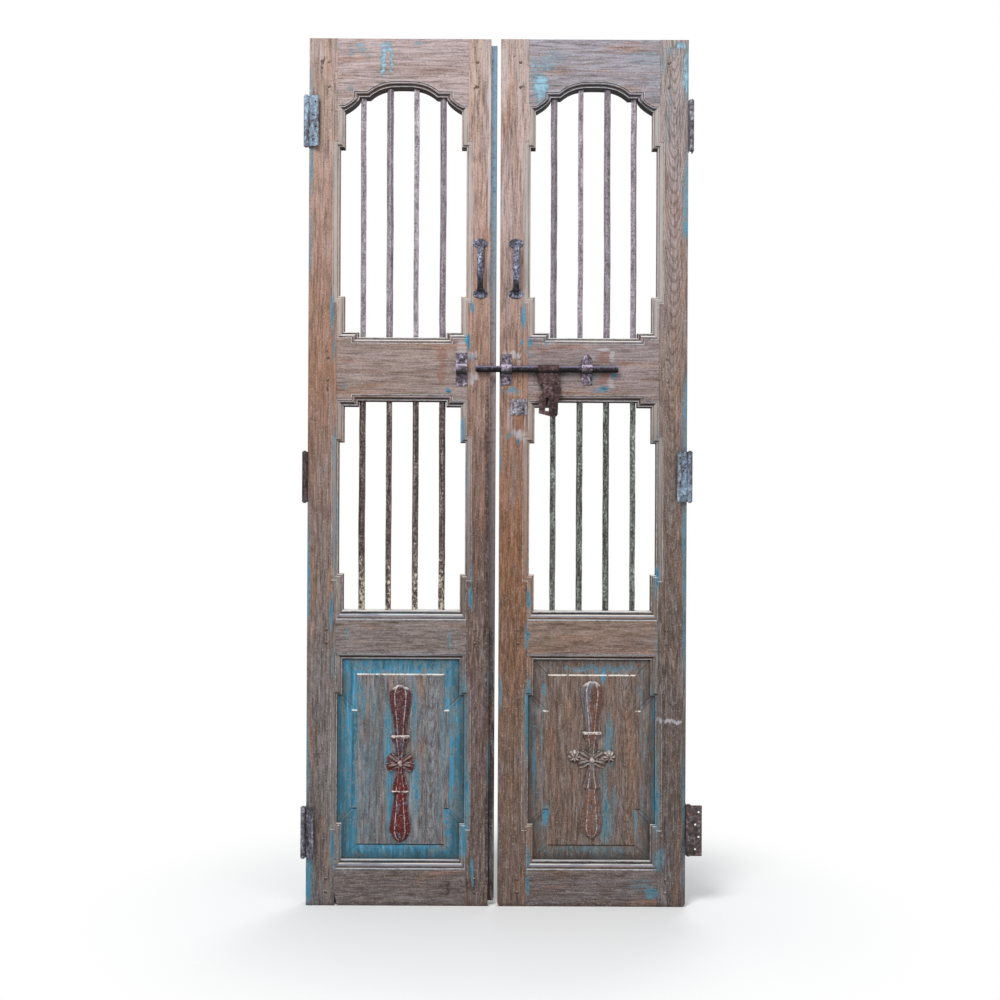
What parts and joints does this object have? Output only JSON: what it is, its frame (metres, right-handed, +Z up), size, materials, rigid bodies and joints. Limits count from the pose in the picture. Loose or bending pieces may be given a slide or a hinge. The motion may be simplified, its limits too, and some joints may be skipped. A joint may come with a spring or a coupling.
{
  "type": "double door leaves",
  "caption": "Pair of weathered wooden door leaves with arched, iron-barred lights, raised and carved lower panels, pull handles, a slide bolt with hasp, and butt hinges.",
  "frame": {"origin": "centre of the closed pair's box on the floor line, at the leaves' foot", "axes": "+Z up along the leaves, -Y out of the front face that carries bolt and handles, +X from the left leaf to the right leaf as seen from the front"},
  "size_m": [1.0016, 0.078, 2.17],
  "materials": {
    "upper_wood": "matte",
    "lower_wood": "matte",
    "carved_wood": "matte",
    "dark_wood": "matte",
    "bar_iron": "matte",
    "fitting_iron": "satin",
    "hinge_plate": "matte"
  },
  "bodies": {
    "hinge_mounts": {"left_middle_hinge_free": "hinge_plate", "right_bottom_hinge_free": "hinge_plate"},
    "left_leaf": {"left_hinge_stile": "upper_wood", "left_meeting_stile": "upper_wood", "left_top_rail": "upper_wood", "left_lock_rail": "upper_wood", "left_frieze_rail": "lower_wood", "left_bottom_rail": "lower_wood", "left_panel": "lower_wood", "left_carving": "carved_wood", "left_edge_batten": "dark_wood", "left_handle": "fitting_iron", "left_joint_pegs": "dark_wood", "left_staple": "fitting_iron", "left_screws": "fitting_iron", "left_hinge_pins": "fitting_iron", "left_upper_bar_1": "bar_iron", "left_upper_bar_2": "bar_iron", "left_upper_bar_3": "bar_iron", "left_upper_bar_4": "bar_iron", "left_lower_bar_1": "bar_iron", "left_lower_bar_2": "bar_iron", "left_lower_bar_3": "bar_iron", "left_lower_bar_4": "bar_iron", "left_bottom_hinge_fixed": "hinge_plate", "left_middle_hinge_fixed": "hinge_plate", "left_top_hinge_fixed": "hinge_plate"},
    "right_leaf": {"right_hinge_stile": "upper_wood", "right_meeting_stile": "upper_wood", "right_top_rail": "upper_wood", "right_lock_rail": "upper_wood", "right_frieze_rail": "lower_wood", "right_bottom_rail": "lower_wood", "right_panel": "lower_wood", "right_carving": "carved_wood", "right_handle": "fitting_iron", "right_joint_pegs": "dark_wood", "right_inner_guide": "fitting_iron", "right_outer_guide": "fitting_iron", "right_screws": "fitting_iron", "right_hinge_pins": "fitting_iron", "right_upper_bar_1": "bar_iron", "right_upper_bar_2": "bar_iron", "right_upper_bar_3": "bar_iron", "right_upper_bar_4": "bar_iron", "right_lower_bar_1": "bar_iron", "right_lower_bar_2": "bar_iron", "right_lower_bar_3": "bar_iron", "right_lower_bar_4": "bar_iron", "right_bottom_hinge_fixed": "hinge_plate", "right_middle_hinge_fixed": "hinge_plate", "right_top_hinge_fixed": "hinge_plate", "lock_plate": "fitting_iron"},
    "left_top_plate": {"left_top_hinge_free": "hinge_plate"},
    "left_bottom_plate": {"left_bottom_hinge_free": "hinge_plate"},
    "right_top_plate": {"right_top_hinge_free": "hinge_plate"},
    "right_middle_plate": {"right_middle_hinge_free": "hinge_plate"},
    "bolt": {"bolt_rod": "fitting_iron"},
    "hasp": {"hasp": "fitting_iron"}
  },
  "joints": [
    {"name": "left_leaf_swing", "type": "hinge", "parent": "hinge_mounts", "child": "left_leaf", "pos_m": [-0.49425, -0.0059, 1.07198], "axis": [0, 0, -1], "range_deg": [0, 150]},
    {"name": "right_leaf_swing", "type": "hinge", "parent": "hinge_mounts", "child": "right_leaf", "pos_m": [0.46775, -0.0059, 0.19421], "axis": [0, 0, 1], "range_deg": [0, 150]},
    {"name": "left_top_plate_turn", "type": "hinge", "parent": "left_leaf", "child": "left_top_plate", "pos_m": [-0.49425, -0.0059, 1.9606], "axis": [0, 0, 1], "range_deg": [-243, 0]},
    {"name": "left_bottom_plate_turn", "type": "hinge", "parent": "left_leaf", "child": "left_bottom_plate", "pos_m": [-0.49425, -0.0059, 0.18445], "axis": [0, 0, 1], "range_deg": [-225, 18]},
    {"name": "right_top_plate_turn", "type": "hinge", "parent": "right_leaf", "child": "right_top_plate", "pos_m": [0.46775, -0.0059, 1.95409], "axis": [0, 0, -1], "range_deg": [0, 243]},
    {"name": "right_middle_plate_turn", "type": "hinge", "parent": "right_leaf", "child": "right_middle_plate", "pos_m": [0.46775, -0.0059, 1.07632], "axis": [0, 0, -1], "range_deg": [-243, 0]},
    {"name": "bolt_slide", "type": "slide", "parent": "right_leaf", "child": "bolt", "axis": [1, 0, 0], "range_m": [-0.064, 0.057]},
    {"name": "hasp_turn", "type": "hinge", "parent": "bolt", "child": "hasp", "pos_m": [0.11265, -0.0115, 1.343], "axis": [-1, 0, 0], "range_deg": [-4, 170]}
  ],
  "couplings": [
    {"joint": "right_leaf_swing", "follows": "left_leaf_swing", "ratio": 1}
  ]
}
